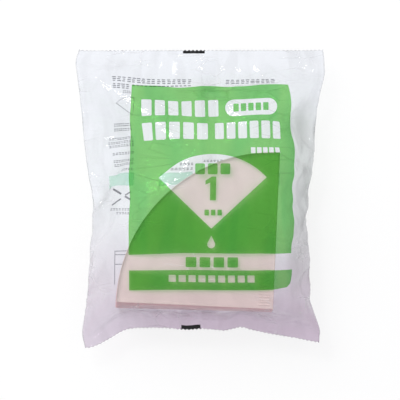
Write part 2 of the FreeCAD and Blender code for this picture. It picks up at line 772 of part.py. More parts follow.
parts = [
    add_part("film_bag", film_bag()),
    add_part("front_print", front_print()),
    add_part("back_print", back_ink(back_outline())),
    add_part("back_strip", back_ink(strip_outline())),
    add_part("register_marks", register_marks()),
    front_filter(),
    paper_filters(),
]
doc.recompute()

for item in doc.Objects:
    if "Invalid" in item.State or "Error" in item.State:
        raise RuntimeError(f"{item.Name} failed: {item.State}")
for item in parts:
    if item.Shape.isNull() or not item.Shape.isValid():
        raise RuntimeError(f"{item.Label} has no valid shape")

os.makedirs("parts", exist_ok=True)
for item in parts:
    item.Shape.exportStep(f"parts/{item.Label}.step")
    print(item.Label, len(item.Shape.Solids), "solids", round(item.Shape.Volume, 1), "mm3")
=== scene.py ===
import math
import bpy
import numpy as np
from mathutils.geometry import delaunay_2d_cdt
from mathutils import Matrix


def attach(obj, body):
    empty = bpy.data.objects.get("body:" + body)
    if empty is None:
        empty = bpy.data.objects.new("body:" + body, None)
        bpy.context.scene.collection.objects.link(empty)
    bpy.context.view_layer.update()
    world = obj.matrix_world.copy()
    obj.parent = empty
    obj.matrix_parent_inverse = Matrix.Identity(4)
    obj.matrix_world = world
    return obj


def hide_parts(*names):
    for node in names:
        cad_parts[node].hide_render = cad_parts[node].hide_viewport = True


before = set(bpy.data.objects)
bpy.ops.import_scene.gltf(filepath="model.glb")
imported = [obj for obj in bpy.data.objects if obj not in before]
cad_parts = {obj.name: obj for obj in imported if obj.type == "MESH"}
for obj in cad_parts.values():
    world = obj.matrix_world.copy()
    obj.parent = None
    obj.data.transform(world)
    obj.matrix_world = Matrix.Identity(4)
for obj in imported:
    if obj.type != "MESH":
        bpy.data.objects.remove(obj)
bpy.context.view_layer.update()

# Sizes are in millimetres until a mesh is made. A place on the film is given flat:
# across from the middle of the bag, and up from the cut edge at its foot.
metre = 0.001

bag = {
    "width": 170.5,          # flat, side fold to side fold
    "length": 211.0,         # flat, cut edge to cut edge
    "seal": 6.5,
    "sealLevel": 20.0,       # height of the end seals above the table
    "head": 101.5,           # the cut edge at the head, seen from above
    "halfThick": 0.07,
    "columns": 101,          # of the settling grid, four times a whole number plus one
    "rows": 125,
    "toothPitch": 2.75,
    "toothDepth": 0.9,
    "air": 0.0004,           # how hard the air inside pushes
    "weight": 0.0022,        # how hard the film sinks
    "heightGrip": (0.12, 3, 6),    # share of the outline's pull that acts on the height, times
                                   # this at the foot seal and this at the head seal
    "slant": 0.35,           # how well a cell keeps its corners square
    "bends": [(2, 0.5), (4, 0.25)],    # points this many apart resist a bend, this much
    "room": 0.75,            # between the film's middle and the stack while it settles
    "drawnRoom": 0.3,        # and between the finished film and the stack
    "tableRoom": 0.12,
    "startRoom": 2.5,        # round the stack, where the film starts flat over it,
    "startLevels": (0.2, 0.6),     # this far over the table and over the stack
    "pressed": (5, 13),      # columns of the grid that a seal is smoothed over, foot and head
    "crease": 1.1,           # size of the first crumples
    "seed": 11,
    # Passes, each on a grid twice as fine: rounds, times the air, the outline's pull, times the crumples
    "passes": [(260, 4, 0.25, 1.0), (220, 2, 0.12, 0.35), (200, 1, 0.05, 0.08)],
}

# The outline as it lies on the table: level, left fold, right fold
sideLine = [
    (102, -80.5, 82.5), (95, -84.8, 84.4), (81, -83.3, 84.0), (68, -81.2, 80.6), (54, -79.9, 78.5),
    (27, -77.2, 77.2), (0, -72.4, 72.4), (-10, -71.8, 71.8), (-27, -72.4, 72.4), (-37, -74.5, 74.5),
    (-54, -75.8, 74.5), (-68, -77.2, 74.5), (-81, -78.8, 78.8), (-91, -79.4, 80.6), (-102, -77.0, 80.6),
]
# The cut edge at the foot: place across, level
footLine = [
    (-79, -98.5), (-75.8, -101.5), (-71, -99.0), (-64, -95.5), (-57.5, -91.4), (-51, -87.6), (-44, -86.7),
    (-24, -86.7), (-10, -88.0), (3, -87.3), (17, -88.7), (27, -86.0), (37, -88.5), (51, -91.4),
    (64, -93.4), (80, -96.5),
]
sideLevel, leftSide, rightSide = np.array(sideLine[::-1], float).T
footAcross, footLevel = np.array(footLine, float).T

stack = {
    "point": (48.8, -73.1),  # where the fold meets the seam
    "radius": 105.0,
    "headTurn": 2.6,         # degrees, of the filter on top
    "footTurn": 0.9,         # and of the one at the bottom
    "swell": (-0.6, -2.4),   # how far the middle of the stack stands out
    "low": 0.41,
    "count": 100,
    "step": 0.45,
    "thick": 0.40,           # one folded filter
    "ply": 0.16,
}
topFilterLow = stack["low"] + (stack["count"] - 1) * stack["step"]
stackTop = topFilterLow + stack["thick"]


# How far the stack is turned at a height, and where its point is there
def stackAt(height):
    share = np.clip((height - stack["low"]) / (stackTop - stack["low"]), 0, 1)
    bow = np.sin(share * math.pi)
    turn = np.radians(stack["footTurn"] + (stack["headTurn"] - stack["footTurn"]) * share)
    return turn, stack["point"][0] + stack["swell"][0] * bow, stack["point"][1] + stack["swell"][1] * bow


# Leftward along the fold and upward along the seam, from the filters' point
def sectorAxes(x, y, height):
    turn, pointX, pointY = stackAt(height)
    dx, dy = x - pointX, y - pointY
    return dy * np.sin(turn) - dx * np.cos(turn), dx * np.sin(turn) + dy * np.cos(turn)


def sectorPlace(left, up, height):
    turn, pointX, pointY = stackAt(height)
    return (pointX + up * np.sin(turn) - left * np.cos(turn),
            pointY + up * np.cos(turn) + left * np.sin(turn))


# Moves the points that are in the stack, or nearer to it than room, out of it
def pushFromStack(points, room):
    left, up = sectorAxes(points[..., 0], points[..., 1], points[..., 2])
    inLeft, inUp = np.maximum(left, 0), np.maximum(up, 0)
    reach = np.hypot(inLeft, inUp)
    pull = np.minimum(1, stack["radius"] / np.maximum(reach, 1e-6))
    outLeft, outUp = left - inLeft * pull, up - inUp * pull
    outside = np.hypot(outLeft, outUp)
    depths = np.stack([left, up, stack["radius"] - reach], axis=-1)
    depth = depths.min(axis=-1)
    which = depths.argmin(axis=-1)
    unit = np.maximum(reach, 1e-6)
    normLeft = np.where(outside > 0, outLeft / np.maximum(outside, 1e-9),
                        np.choose(which, [-np.ones_like(left), np.zeros_like(left), left / unit]))
    normUp = np.where(outside > 0, outUp / np.maximum(outside, 1e-9),
                      np.choose(which, [np.zeros_like(up), -np.ones_like(up), up / unit]))
    flat = np.where(outside > 0, outside, -depth)
    middle = (stack["low"] + stackTop) / 2
    rise = points[..., 2] - middle
    tall = np.abs(rise) - (stackTop - stack["low"]) / 2
    sign = np.where(rise >= 0, 1.0, -1.0)
    far = np.hypot(np.maximum(flat, 0), np.maximum(tall, 0))
    inside = (flat <= 0) & (tall <= 0)
    byTop = inside & (tall >= flat)
    bySide = inside & ~byTop
    near = ~inside & (far < room)
    scale = np.where(near, (room - far) / np.maximum(far, 1e-6), 0)
    moveFlat = np.where(near, np.maximum(flat, 0) * scale, 0) + np.where(bySide, room - flat, 0)
    moveTall = np.where(near, np.maximum(tall, 0) * scale, 0) + np.where(byTop, room - tall, 0)
    turn = stackAt(points[..., 2])[0]
    points[..., 0] += moveFlat * (normUp * np.sin(turn) - normLeft * np.cos(turn))
    points[..., 1] += moveFlat * (normUp * np.cos(turn) + normLeft * np.sin(turn))
    points[..., 2] += moveTall * sign


# The bag is settled round the stack as thin film: two flat sheets of the bag's own
# size, joined at the folds and seals, keep their lengths, resist bending and are
# drawn towards the outline, while the stack and the table hold them off.

# Where each grid point starts, seen from above
def outlinePlaces(rows, columns):
    across = np.linspace(-1, 1, columns)[None, :]
    along = np.linspace(0, 1, rows)[:, None]
    x = across * 80 + 0 * along    # a first guess, made closer six times
    for _ in range(6):
        foot = np.interp(x, footAcross, footLevel)
        y = foot + along * (bag["head"] - foot)
        left, right = np.interp(y, sideLevel, leftSide), np.interp(y, sideLevel, rightSide)
        x = left + (across + 1) / 2 * (right - left)
    return x, y


# The film before it settles: up over the stack, and down to the seals all round
def startShape(rows, columns):
    x, y = outlinePlaces(rows, columns)
    left, up = sectorAxes(x, y, stackTop)
    inLeft, inUp = np.maximum(left, 0), np.maximum(up, 0)
    pull = np.minimum(1, stack["radius"] / np.maximum(np.hypot(inLeft, inUp), 1e-6))
    away = np.maximum(0, np.hypot(left - inLeft * pull, up - inUp * pull) - bag["startRoom"])
    edge = np.minimum(x - np.interp(y, sideLevel, leftSide), np.interp(y, sideLevel, rightSide) - x)
    edge = np.minimum(edge, bag["head"] - bag["seal"] - y)
    edge = np.minimum(edge, y - np.interp(x, footAcross, footLevel) - bag["seal"])
    edge = np.maximum(edge, 0)
    share = edge / np.maximum(0.01, edge + away)
    full = 0.5 * share + 0.5 * np.sin(share * math.pi / 2)
    seals = bag["sealLevel"]
    low, high = bag["startLevels"]
    front = np.stack([x, y, seals + (stackTop + high - seals) * full], axis=-1)
    back = np.stack([x, y, seals - (seals - low) * full], axis=-1)
    return np.stack([front, back])


# True where front and back are one: the folds and the end seals
def joined(rows, columns):
    up = np.linspace(0, bag["length"], rows)
    mask = np.zeros((rows, columns), bool)
    mask[:, 0] = mask[:, -1] = True
    mask[(up < bag["seal"] + 0.5) | (up > bag["length"] - bag["seal"] - 0.5)] = True
    return mask


# Pairs of points that lie down rows and over columns apart keep their distance
def keepLength(points, down, over, rest, share):
    rows, columns = points.shape[1:3]
    for start in (0, 1):
        if over == 0:
            a = points[:, start:rows - down:2]
            b = points[:, start + down::2][:, :a.shape[1]]
        else:
            low = max(0, -over)
            high = columns - max(0, over)
            a = points[:, 0:rows - down, low + start:high:2]
            b = points[:, down:rows, low + start + over:high + over:2][:, :, :a.shape[2]]
        gap = b - a
        length = np.sqrt((gap * gap).sum(axis=-1, keepdims=True)) + 1e-9
        move = gap * (0.5 * share * (1 - rest / length))
        a += move
        b -= move


# Points further apart are only pushed back out, which is what resists a sharp bend
def stiffen(points, skip, acrossRest, alongRest, share):
    for axis, rest in ((2, acrossRest), (1, alongRest)):
        count = points.shape[axis]
        a = points.take(range(0, count - skip), axis=axis)
        b = points.take(range(skip, count), axis=axis)
        gap = b - a
        length = np.sqrt((gap * gap).sum(axis=-1, keepdims=True)) + 1e-9
        move = gap * (0.25 * share * np.minimum(0, 1 - skip * rest / length))
        first = [slice(None)] * 4
        last = [slice(None)] * 4
        first[axis], last[axis] = slice(0, count - skip), slice(skip, count)
        points[tuple(first)] += move
        points[tuple(last)] -= move


# The air inside
def pushOut(points, amount):
    over = points[:, 1:-1, 2:] - points[:, 1:-1, :-2]
    up = points[:, 2:, 1:-1] - points[:, :-2, 1:-1]
    normal = np.cross(over, up)
    normal /= np.linalg.norm(normal, axis=-1, keepdims=True) + 1e-9
    normal[1] *= -1
    points[:, 1:-1, 1:-1] += normal * amount


def settle(points, rounds, air, hold):
    rows, columns = points.shape[1:3]
    overRest, upRest = bag["width"] / (columns - 1), bag["length"] / (rows - 1)
    slant = math.hypot(overRest, upRest)
    mask = joined(rows, columns)
    x, y = outlinePlaces(rows, columns)
    target = np.stack([x, y, np.full_like(x, bag["sealLevel"])], axis=-1)[mask]
    grip = np.full((rows, columns, 3), hold)
    share, atFoot, atHead = bag["heightGrip"]
    grip[..., 2] *= share
    grip[0:rows // 20, :, 2] *= atFoot
    grip[-(rows // 20):, :, 2] *= atHead
    grip = grip[mask]
    for turn in range(rounds):
        keepLength(points, 0, 1, overRest, 1.0)
        keepLength(points, 1, 0, upRest, 1.0)
        keepLength(points, 1, 1, slant, bag["slant"])
        keepLength(points, 1, -1, slant, bag["slant"])
        for skip, share in bag["bends"]:
            stiffen(points, skip, overRest, upRest, share)
        pushOut(points, air)
        points[..., 2] -= bag["weight"]
        seam = points[:, mask].mean(axis=0)
        points[:, mask] = seam + (target - seam) * grip
        if turn % 2 == 0 or turn > rounds - 4:
            pushFromStack(points, bag["room"])
        middle = points[..., 2].mean(axis=0)
        under = points[0, ..., 2] < points[1, ..., 2]
        points[0, ..., 2] = np.where(under, middle, points[0, ..., 2])
        points[1, ..., 2] = np.where(under, middle, points[1, ..., 2])
        points[..., 2] = np.maximum(points[..., 2], bag["tableRoom"])
    return points


# Twice as many cells each way
def finer(points):
    rows, columns = points.shape[1:3]
    wide = np.empty((2, rows, columns * 2 - 1, 3))
    wide[:, :, ::2] = points
    wide[:, :, 1::2] = (points[:, :, 1:] + points[:, :, :-1]) / 2
    both = np.empty((2, rows * 2 - 1, columns * 2 - 1, 3))
    both[:, ::2] = wide
    both[:, 1::2] = (wide[:, 1:] + wide[:, :-1]) / 2
    return both


# The hot bar leaves each end seal smoother than the film beside it
def pressedSeals(points):
    rows = points.shape[1]
    count = round(bag["seal"] / bag["length"] * (rows - 1)) + 4
    for part, width in zip((slice(0, count), slice(rows - count, rows)), bag["pressed"]):
        level = points[:, part, :, 2]
        padded = np.pad(level, ((0, 0), (0, 0), (width // 2, width // 2)), mode="edge")
        smooth = sum(padded[..., k:k + level.shape[2]] for k in range(width)) / width
        share = np.linspace(1, 0, count) if part.start == 0 else np.linspace(0, 1, count)
        points[:, part, :, 2] = level + (smooth - level) * share[None, :, None]
    return points


def settledBag():
    chance = np.random.default_rng(bag["seed"])
    rows, columns = (bag["rows"] - 1) // 4 + 1, (bag["columns"] - 1) // 4 + 1
    points = startShape(rows, columns)
    for number, (rounds, air, hold, crumples) in enumerate(bag["passes"]):
        if number:
            points = finer(points)
        points += chance.normal(0, bag["crease"] * crumples, points.shape)
        points = settle(points, rounds, bag["air"] * air, hold)
    return pressedSeals(points)


film = settledBag()
film[0, ..., 2] += bag["halfThick"]
film[1, ..., 2] -= bag["halfThick"]
print("bag settled")


# Points of the settled film at flat places, smoothly between the grid's points
def filmPlace(side, across, up):
    grid = film[side]
    rows, columns = grid.shape[:2]
    u = np.clip((np.asarray(across) / bag["width"] + 0.5) * (columns - 1), 0, columns - 1 - 1e-6)
    v = np.clip(np.asarray(up) / bag["length"] * (rows - 1), 0, rows - 1 - 1e-6)
    i, j = np.floor(u).astype(int), np.floor(v).astype(int)

    def weights(f):
        return [((2 - f) * f - 1) * f / 2, (f * f * (3 * f - 5) + 2) / 2,
                ((4 - 3 * f) * f + 1) * f / 2, (f - 1) * f * f / 2]

    place = 0
    for m, rowWeight in enumerate(weights(v - j)):
        row = np.clip(j + m - 1, 0, rows - 1)
        for n, columnWeight in enumerate(weights(u - i)):
            column = np.clip(i + n - 1, 0, columns - 1)
            place = place + grid[row, column] * (rowWeight * columnWeight)[..., None]
    return place


def filmNormal(side, across, up):
    step = 0.8
    over = filmPlace(side, across + step, up) - filmPlace(side, across - step, up)
    rise = filmPlace(side, across, up + step) - filmPlace(side, across, up - step)
    normal = np.cross(over, rise)
    normal /= np.linalg.norm(normal, axis=-1, keepdims=True) + 1e-9
    return normal if side == 0 else -normal


# A mesh object in metres, with its flat places as its UV map
def newPiece(name, verts, faces, materials, flat=None, smooth=True):
    mesh = bpy.data.meshes.new(name)
    mesh.from_pydata([tuple(v) for v in (np.asarray(verts) * metre).tolist()], [], faces)
    if flat is not None:
        layer = mesh.uv_layers.new(name="flat")
        corners = np.empty(len(mesh.loops), int)
        mesh.loops.foreach_get("vertex_index", corners)
        layer.data.foreach_set("uv", (np.asarray(flat)[corners] * 0.01).ravel())
    for material in materials:
        mesh.materials.append(material)
    mesh.update()
    if smooth:
        mesh.shade_smooth()
    piece = bpy.data.objects.new(name, mesh)
    bpy.context.scene.collection.objects.link(piece)
    return piece


# Materials. Patterns on the film read its flat places, paper reads Object coordinates.

def newMaterial(name):
    material = bpy.data.materials.new(name)
    material.use_nodes = True
    material.node_tree.nodes.clear()
    return material, material.node_tree.nodes


# An input takes a plain value, or a link from another node's output
def feed(socket, value):
    if isinstance(value, bpy.types.NodeSocket):
        socket.id_data.links.new(value, socket)
    else:
        socket.default_value = value


# A new node, with its settings and inputs by name ("_" for a space), or its inputs in order
def addNode(nodes, kind, *values, **named):
    node = nodes.new(kind)
    for name, value in named.items():
        if hasattr(node, name):
            setattr(node, name, value)
        else:
            feed(node.inputs[name.replace("_", " ")], value)
    for socket, value in zip(node.inputs, values):
        feed(socket, value)
    return node


# The same, and gives its first output
def output(nodes, kind, *values, **named):
    return addNode(nodes, kind, *values, **named).outputs[0]


filmLook = {
    "headTint": (0.950, 0.961, 0.985, 1),   # what one layer lets through, near the head
    "footShadowTint": (0.93, 0.875, 0.92, 1),     # and near the foot: painted shadow of the stack
    # the back film's darker painted shadow of the stack, at the foot
    "backFootShadowTint": (0.64, 0.555, 0.655, 1),
    "sideShadeTint": (0.89, 0.89, 0.875, 1),     # painted shade down the right side, over the other tints
    "lapTint": (0.985, 0.985, 0.99, 1),
    # Places on the film, 1 to 10 cm: across from the left fold and up from the foot
    "footShadowFade": (0.1, 1.0),      # the foot's painted shadow fades out over these levels
    "leftFade": (0.15, 0.75),    # and weakens towards the left fold between these places
    "leftShare": 0.70,           # to this share
    "sideStart": (1.40, 1.58),   # the right side's painted shade comes in between these places
    "sideFoot": (0.0, 0.9),      # and these levels,
    "sideEnd": (1.45, 1.85),     # and weakens towards the head between these levels
    "sideHeadShare": 0.12,       # to this share
    "folds": 0.03,           # how much painted shade of soft folds darkens it, and on the right side
    "sidePaintedFolds": 0.12,
    "haze": 0.06,            # milkiness seen straight on
    "steepHaze": 0.30,       # and what a steep slope adds to it
    "hazeTint": (0.86, 0.86, 0.90, 1),
    "edgeShine": 0.55,       # mirror share on a steep slope
    "shine": 0.045,          # and seen straight on
    "gloss": 0.06,           # roughness of that mirror
    "crinkle": 0.7,
    "crinkleTall": 0.0016,   # metres
    "creases": 0.30,         # how far a sharp crease stands out
    "creaseMilk": 0.15,      # and how much whiter it is
}


def mathNode(nodes, operation, *values):
    return output(nodes, "ShaderNodeMath", *values, operation=operation)


# Goes softly from first to last while the source goes from low to high
def ramp(nodes, source, low, high, first=0.0, last=1.0):
    return output(nodes, "ShaderNodeMapRange", source, low, high, first, last,
                  interpolation_type="SMOOTHSTEP")


def blend(nodes, share, first, second, kind="MIX"):
    node = addNode(nodes, "ShaderNodeMix", share, data_type="RGBA", blend_type=kind)
    for socket, value in zip([s for s in node.inputs if s.type == "RGBA"], (first, second)):
        feed(socket, value)
    return node.outputs[2]


def noise(nodes, place, **values):
    return output(nodes, "ShaderNodeTexNoise", Vector=place, **values)


def stretched(nodes, place, *scale):
    return output(nodes, "ShaderNodeMapping", Vector=place, Scale=scale)


# The flat place on the bag: across from its left fold and up from its foot, 1 to 10 cm
def flatPlace(nodes):
    return output(nodes, "ShaderNodeUVMap", uv_map="flat")


# Painted shade of soft folds that run up the bag, as shares from 0 to 1
def foldShade(nodes, across, along):
    place = stretched(nodes, flatPlace(nodes), across, along, 1.0)
    cloud = noise(nodes, place, Scale=1.0, Detail=2.0, Roughness=0.45, Distortion=0.8)
    return ramp(nodes, cloud, 0.40, 0.68)


# Fine crinkles: folds that run across the gathers, a finer crackle, and here and there
# a sharp crease, whose own share comes back too
def filmBump(nodes, strength):
    place = flatPlace(nodes)
    across = stretched(nodes, place, 1.0, 2.6, 1.0)
    broad = noise(nodes, across, Scale=5.5, Detail=3.0, Roughness=0.5, Distortion=0.6)
    fine = noise(nodes, place, Scale=34.0, Detail=2.0, Roughness=0.5)
    both = mathNode(nodes, "MULTIPLY_ADD", fine, 0.12, broad)
    cells = output(nodes, "ShaderNodeTexVoronoi", feature="DISTANCE_TO_EDGE", Scale=4.5, Vector=across)
    where = noise(nodes, place, Scale=2.6, Detail=1.0)
    crease = mathNode(nodes, "MULTIPLY", ramp(nodes, cells, 0.0, 0.05, 1.0, 0.0),
                      ramp(nodes, where, 0.48, 0.62))
    height = mathNode(nodes, "MULTIPLY_ADD", crease, filmLook["creases"], both)
    normal = output(nodes, "ShaderNodeBump", Strength=strength, Distance=filmLook["crinkleTall"],
                    Height=height)
    return normal, crease


# Clear film: a tint for what passes, with painted shadow at the foot and painted shade down the right side
# and in soft folds, a little milk and a thin mirror on slopes
def filmMaterial(name, headTint, footShadowTint, haze):
    look = filmLook
    material, nodes = newMaterial(name)
    normal, crease = filmBump(nodes, look["crinkle"])
    across, along = addNode(nodes, "ShaderNodeSeparateXYZ", flatPlace(nodes)).outputs[:2]
    footShadowShare = mathNode(nodes, "MULTIPLY", ramp(nodes, along, *look["footShadowFade"], 1.0, 0.0),
                         ramp(nodes, across, *look["leftFade"], look["leftShare"], 1.0))
    sideShadeShare = mathNode(nodes, "MULTIPLY", ramp(nodes, across, *look["sideStart"]),
                         ramp(nodes, along, *look["sideFoot"]))
    sideShadeShare = mathNode(nodes, "MULTIPLY", sideShadeShare,
                         ramp(nodes, along, *look["sideEnd"], 1.0, look["sideHeadShare"]))
    # Painted shadow of the stack at the foot, then painted shade down the right side
    tint = blend(nodes, footShadowShare, headTint, footShadowTint)
    tint = blend(nodes, sideShadeShare, tint, look["sideShadeTint"], "MULTIPLY")
    # Painted shade of soft folds, deeper down the right side
    depth = mathNode(nodes, "MULTIPLY_ADD", sideShadeShare, look["sidePaintedFolds"], look["folds"])
    paintedFoldShade = mathNode(nodes, "MULTIPLY", depth, foldShade(nodes, 11.0, 3.0))
    paintedShadeTint = output(nodes, "ShaderNodeHueSaturation", Color=tint,
                    Value=mathNode(nodes, "SUBTRACT", 1.0, paintedFoldShade))
    clear = output(nodes, "ShaderNodeBsdfTransparent", Color=paintedShadeTint)
    milk = output(nodes, "ShaderNodeBsdfPrincipled", Base_Color=look["hazeTint"], Roughness=0.45,
                  Normal=normal)
    gloss = output(nodes, "ShaderNodeBsdfGlossy", Roughness=look["gloss"], Normal=normal)
    facing = addNode(nodes, "ShaderNodeLayerWeight", Blend=0.5, Normal=normal).outputs["Facing"]
    edge = mathNode(nodes, "MULTIPLY_ADD", mathNode(nodes, "POWER", facing, 4.0),
                    look["edgeShine"], look["shine"])
    milky = mathNode(nodes, "MULTIPLY_ADD", mathNode(nodes, "POWER", facing, 1.6),
                     look["steepHaze"], haze)
    milky = mathNode(nodes, "MULTIPLY_ADD", crease, look["creaseMilk"], milky)
    veil = output(nodes, "ShaderNodeMixShader", milky, clear, milk)
    shine = output(nodes, "ShaderNodeMixShader", edge, veil, gloss)
    addNode(nodes, "ShaderNodeOutputMaterial", Surface=shine)
    return material


# Ink on film: tone is its own colour, through is what light from behind it becomes, with painted fold
# shade in it
def inkMaterial(name, tone, through, clearShare, glowShare):
    material, nodes = newMaterial(name)
    normal = filmBump(nodes, filmLook["crinkle"] * 0.4)[0]
    grain = noise(nodes, flatPlace(nodes), Scale=60.0, Detail=2.0)
    mottle = output(nodes, "ShaderNodeHueSaturation", Color=(*tone, 1),
                    Value=ramp(nodes, grain, 0.0, 1.0, 0.94, 1.06))
    body = output(nodes, "ShaderNodeBsdfPrincipled", Roughness=0.28, Specular_IOR_Level=0.2,
                  Base_Color=mottle, Normal=normal)
    # Painted shade of soft folds: darker and a little bluer where light passes
    folds = foldShade(nodes, 5.5, 1.4)
    paintedShadeTint = output(nodes, "ShaderNodeHueSaturation", Color=(*through, 1),
                    Value=mathNode(nodes, "MULTIPLY_ADD", folds, -0.055, 1.085),
                    Hue=mathNode(nodes, "MULTIPLY_ADD", folds, 0.016, 0.503))
    glow = output(nodes, "ShaderNodeBsdfTranslucent", Color=paintedShadeTint)
    clear = output(nodes, "ShaderNodeBsdfTransparent", Color=paintedShadeTint)
    passing = output(nodes, "ShaderNodeMixShader", glowShare, body, glow)
    mixed = output(nodes, "ShaderNodeMixShader", clearShare, passing, clear)
    addNode(nodes, "ShaderNodeOutputMaterial", Surface=mixed)
    return material


paperLook = {
    "tone": (0.775, 0.67, 0.605),
    "deep": (0.72, 0.60, 0.545),
    "fold": (0.83, 0.55, 0.56),      # painted shade on the edges of the stack, along the fold
    "edgeShadeLevels": (-0.075, -0.045),  # where that painted shade gives way to the plain tone, metres
    "fibre": 0.5,
    "fibreTall": 0.0003,             # metres
}


# Soft crepe paper: fine fibre, a faint cloud in its colour, and painted shade by the fold if given
def paperMaterial(name, fold=None):
    look = paperLook
    material, nodes = newMaterial(name)
    place = addNode(nodes, "ShaderNodeTexCoord").outputs["Object"]
    cloud = noise(nodes, place, Scale=70.0, Detail=3.0)
    base = blend(nodes, cloud, (*look["deep"], 1), (*look["tone"], 1))
    # Painted shade: a darker, pinker tone low on the stack, by the fold
    if fold:
        up = addNode(nodes, "ShaderNodeSeparateXYZ", place).outputs["Y"]
        base = blend(nodes, ramp(nodes, up, *look["edgeShadeLevels"]), (*fold, 1), base)
    fibre = noise(nodes, stretched(nodes, place, 1.0, 3.0, 1.0), Scale=900.0, Detail=3.0)
    normal = output(nodes, "ShaderNodeBump", Strength=look["fibre"], Distance=look["fibreTall"],
                    Height=fibre)
    body = output(nodes, "ShaderNodeBsdfPrincipled", Roughness=0.9, Base_Color=base, Normal=normal)
    addNode(nodes, "ShaderNodeOutputMaterial", Surface=body)
    return material


# Ink: its own colour, what light through it becomes, how much it lets straight
# through, and how much of the rest glows with light from behind
inks = {
    "greenInk": ((0.06, 0.17, 0.045), (0.38, 0.78, 0.285), 0.76, 0.25),
    "paleGreenInk": ((0.50, 0.78, 0.64), (0.73, 0.97, 0.84), 0.7, 0.5),
    "greyInk": ((0.08, 0.09, 0.12), (0.40, 0.40, 0.46), 0.2, 0.2),
    "blackInk": ((0.012, 0.012, 0.014), (0.1, 0.1, 0.1), 0.0, 0.0),
}

# The film's own tint at the head, the painted shadow at the foot of front and back, and the lap's own tint
tints = [filmLook[name] for name in ("headTint", "footShadowTint", "backFootShadowTint", "lapTint")]
clearFilm = filmMaterial("clearFilm", tints[0], tints[1], filmLook["haze"])
# The back film's copy, with the darker painted shadow at its foot
clearFilmBackShadowed = filmMaterial("clearFilmBackShadowed", tints[0], tints[2], filmLook["haze"])
lapFilm = filmMaterial("lapFilm", tints[3], tints[3], 0.01)
greenInk, stripInk, greyInk, blackInk = (inkMaterial(name, *values) for name, values in inks.items())
filterPaper = paperMaterial("filterPaper")
# The stack's paper, with painted shade along its edge by the fold
shadedStackPaper = paperMaterial("shadedStackPaper", paperLook["fold"])
print("materials made")


# The four-cornered faces of a grid of point numbers
def gridFaces(grid, turned=False):
    corners = [grid[:-1, :-1], grid[:-1, 1:], grid[1:, 1:], grid[1:, :-1]]
    return np.stack(corners[::-1] if turned else corners, axis=-1).reshape(-1, 4).tolist()


# The film itself, one closed skin: its two faces share the folds and the cut edges
def filmPiece():
    pitch = bag["toothPitch"] / 2
    columns = round(bag["width"] / pitch) + 1
    rows = round(bag["length"] / pitch) + 1
    across = np.linspace(-bag["width"] / 2, bag["width"] / 2, columns)
    up = np.linspace(0, bag["length"], rows)
    flatAcross, flatUp = np.meshgrid(across, up)
    cut = np.where(np.arange(columns) % 2 == 1, bag["toothDepth"], 0.0)
    flatUp[0] += cut
    flatUp[-1] -= cut
    sides = []
    for side in (0, 1):
        places = filmPlace(side, flatAcross, flatUp)
        pushFromStack(places, bag["drawnRoom"])
        sides.append(places)
    edge = np.zeros((rows, columns), bool)
    edge[0] = edge[-1] = edge[:, 0] = edge[:, -1] = True
    sides[0][edge] = sides[1][edge] = (sides[0][edge] + sides[1][edge]) / 2
    front = np.arange(rows * columns).reshape(rows, columns)
    back = np.full((rows, columns), -1)
    back[edge] = front[edge]
    back[~edge] = rows * columns + np.arange((~edge).sum())
    verts = np.concatenate([sides[0].reshape(-1, 3), sides[1][~edge]])
    flat = np.stack([flatAcross + bag["width"] / 2, flatUp], axis=-1)
    flat = np.concatenate([flat.reshape(-1, 2), flat[~edge]])

    frontFaces, backFaces = gridFaces(front), gridFaces(back, True)
    piece = newPiece("film", verts, frontFaces + backFaces, [clearFilm, clearFilmBackShadowed], flat)
    piece.data.polygons.foreach_set("material_index", [0] * len(frontFaces) + [1] * len(backFaces))
    return piece


filmBag = filmPiece()
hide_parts("film_bag")
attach(filmBag, "root")


# Printed shapes, as flat outlines of places on the film

def arcPoints(x, y, radius, start, sweep, parts):
    turns = [math.radians(start + sweep * k / parts) for k in range(parts + 1)]
    return [(x + radius * math.cos(turn), y + radius * math.sin(turn)) for turn in turns]


# A bar, with round corners if corner is given
def barShape(left, low, right, high, corner=0.0):
    if corner <= 0:
        return [(left, low), (right, low), (right, high), (left, high)]
    return (arcPoints(right - corner, low + corner, corner, -90, 90, 6)
            + arcPoints(right - corner, high - corner, corner, 0, 90, 6)
            + arcPoints(left + corner, high - corner, corner, 90, 90, 6)
            + arcPoints(left + corner, low + corner, corner, 180, 90, 6))


def blockRow(left, right, low, high, count, gap, corner):
    wide = (right - left - gap * (count - 1)) / count
    return [barShape(left + k * (wide + gap), low, left + k * (wide + gap) + wide, high, corner)
            for k in range(count)]


def fanShape(x, y, radius, angle):
    return [(x, y)] + arcPoints(x, y, radius, 90 - angle / 2, angle, 40)


# A drop, with its tip up, about its round part's middle
def dropShape(x, y, wide, tall):
    radius = wide / 2
    return [(x, y + tall - radius)] + arcPoints(x, y, radius, 150, 240, 24)


def numeralOne(left, low, wide, tall, stem):
    right = left + wide
    stemLeft = right - stem
    return [(stemLeft, low), (right, low), (right, low + tall), (stemLeft + stem * 0.25, low + tall),
            (left, low + tall * 0.83), (left, low + tall * 0.66), (stemLeft, low + tall * 0.75)]


# A closed outline drawn as a line: itself and itself moved in
def loopStroke(outline, line):
    points = np.array(outline, float)
    middle = points.mean(axis=0)
    away = points - middle
    scale = 1 - line / np.maximum(np.linalg.norm(away, axis=1, keepdims=True), line * 2)
    return [outline, (middle + away * scale).tolist()]


# Even and odd: inside one outline, outside a hole in it
def insideLoops(points, loops):
    inside = np.zeros(len(points), bool)
    x, y = points[:, 0], points[:, 1]
    for loop in loops:
        ring = np.array(loop)
        for (x0, y0), (x1, y1) in zip(ring, np.roll(ring, -1, axis=0)):
            if y0 == y1:
                continue
            crosses = (y0 > y) != (y1 > y)
            inside ^= crosses & (x < x0 + (y - y0) * (x1 - x0) / (y1 - y0))
    return inside


# An outline with points added, so that it can follow the film
def dense(loop, step):
    outline = []
    for (x0, y0), (x1, y1) in zip(loop, loop[1:] + loop[:1]):
        parts = max(1, int(math.hypot(x1 - x0, y1 - y0) / step))
        outline += [(x0 + (x1 - x0) * k / parts, y0 + (y1 - y0) * k / parts) for k in range(parts)]
    return outline


